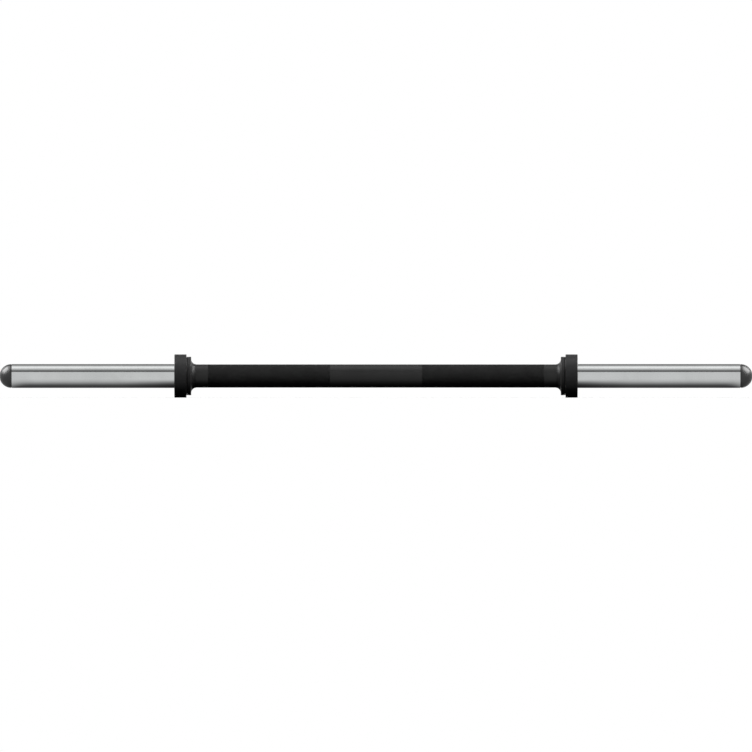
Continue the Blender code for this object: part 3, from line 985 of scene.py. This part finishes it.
def makeFloor():
    look = studioFloor
    half = look["half"]
    mesh = bpy.data.meshes.new("studioFloor")
    mesh.from_pydata([(-half, -half, 0), (half, -half, 0), (half, half, 0), (-half, half, 0)],
                     [], [(0, 1, 2, 3)])
    floor = bpy.data.objects.new("studioFloor", mesh)
    floor.location.z = cadLow.z
    bpy.context.scene.collection.objects.link(floor)
    material = bpy.data.materials.new("paleFloor")
    material.use_nodes = True
    tree = material.node_tree
    tree.nodes.clear()
    cameraRay, mirrored = rayKinds(tree)
    place = splitVector(tree, addNode(tree, "TexCoord").outputs["Object"])
    shadowEnd = cadHigh.x - look["shadowShort"]
    past = calc(tree, "SUBTRACT", calc(tree, "ABSOLUTE", place["X"]), shadowEnd)
    beyond = calc(tree, "MAXIMUM", past, 0.0)   # 0 all along the shadow, further out a distance
    pale = addNode(tree, "BsdfDiffuse")
    feed(tree, pale.inputs["Color"],
         stretchRange(tree, cameraRay, 0, 1, look["bounce"], look["pale"]))
    lift = addNode(tree, "Emission")   # what the lamps leave short of white, for the camera alone
    short = stretchRange(tree, place["Y"], -look["liftReach"], look["liftReach"], *look["lift"])
    feed(tree, lift.inputs["Strength"], calc(tree, "MULTIPLY", short, cameraRay))
    lit = addNode(tree, "AddShader")
    feed(tree, lit.inputs[0], pale.outputs[0])
    feed(tree, lit.inputs[1], lift.outputs[0])
    # a glow: plain white for the camera, and for reflections the floor's white with the bar's
    # painted shadow
    glowWithPaintedShadow = addNode(tree, "Emission")
    feed(tree, glowWithPaintedShadow.inputs["Color"],
         mixColours(tree, mirrored, grey(1.0), paintedShadowInReflections(tree, place, beyond)))
    far = stretchRange(tree, hypotenuse(tree, beyond, place["Y"]), *look["shadowReach"],
                       look["whiteShare"], 1.0, smooth=True)
    share = calc(tree, "MAXIMUM", calc(tree, "MULTIPLY", cameraRay, far), mirrored)
    blend = addNode(tree, "MixShader")
    for socket, value in zip(blend.inputs, (share, lit.outputs[0], glowWithPaintedShadow.outputs[0])):
        feed(tree, socket, value)
    feed(tree, addNode(tree, "OutputMaterial").inputs["Surface"], blend.outputs[0])
    mesh.materials.append(material)


def makeWalls():
    look = studioWalls
    world = bpy.data.worlds.new("studio")
    world.use_nodes = True
    bpy.context.scene.world = world
    tree = world.node_tree
    tree.nodes.clear()
    cameraRay, mirrored = rayKinds(tree)
    place = splitVector(tree, addNode(tree, "TexCoord").outputs["Generated"])
    behind = calc(tree, "POWER", calc(tree, "MAXIMUM", place["Y"], 0.0), look["backSpread"])
    upwards = calc(tree, "MULTIPLY_ADD", behind, look["backDrop"], place["Z"])
    colour = mixColours(tree, mirrored, grey(look["glow"]), ramp(tree, upwards, look["stops"]))
    colour = mixColours(tree, cameraRay, colour, grey(1.0))
    light = addNode(tree, "Background")
    feed(tree, light.inputs["Color"], colour)
    feed(tree, addNode(tree, "OutputWorld").inputs["Surface"], light.outputs[0])


# a long softbox overhead, another towards the front, which isn't seen in reflections, and a lamp
# far off to each side whose reflection is the highlight on the domes and the flares
farLamp = {"size": (5.4, 5.4), "power": 1320.0, "unseen": "diffuse",
           "leavesOut": ("chrome_sleeve", "knurled_grip")}
lamps = {
    "overhead": {"place": (0, 0.005, 1.2), "size": (4.0, 0.63), "power": 8.9},
    "frontTop": {"place": (0, -0.80, 1.38), "size": (4.0, 0.7), "power": 26.5, "unseen": "glossy"},
    "farLeft": {**farLamp, "place": (-4.8, 0.4, 4.6)},
    "farRight": {**farLamp, "place": (4.8, 0.4, 4.6)},
}


# light linking: the lamp lights everything but the pieces whose names start so
def leaveOut(holder, starts):
    unlit = bpy.data.collections.new(holder.name + "LeavesOut")
    for piece in bpy.data.objects:
        if piece.name.startswith(starts):
            unlit.objects.link(piece)
    for member in unlit.collection_objects:
        member.light_linking.link_state = "EXCLUDE"
    holder.light_linking.receiver_collection = unlit


def makeLamps():
    for name, look in lamps.items():
        lamp = bpy.data.lights.new(name, "AREA")
        lamp.shape = "RECTANGLE"
        lamp.size, lamp.size_y = look["size"]
        lamp.energy = look["power"]
        holder = bpy.data.objects.new(name, lamp)
        holder.location = look["place"]
        toBar = -holder.location
        holder.rotation_euler = toBar.to_track_quat("-Z", "Y").to_euler()
        holder.visible_camera = False
        if "unseen" in look:
            setattr(holder, "visible_" + look["unseen"], False)
        bpy.context.scene.collection.objects.link(holder)
        if "leavesOut" in look:
            leaveOut(holder, look["leavesOut"])


makeFloor()
makeWalls()
makeLamps()
setCamera()
bpy.context.scene.view_settings.view_transform = "Standard"
print("studio set")
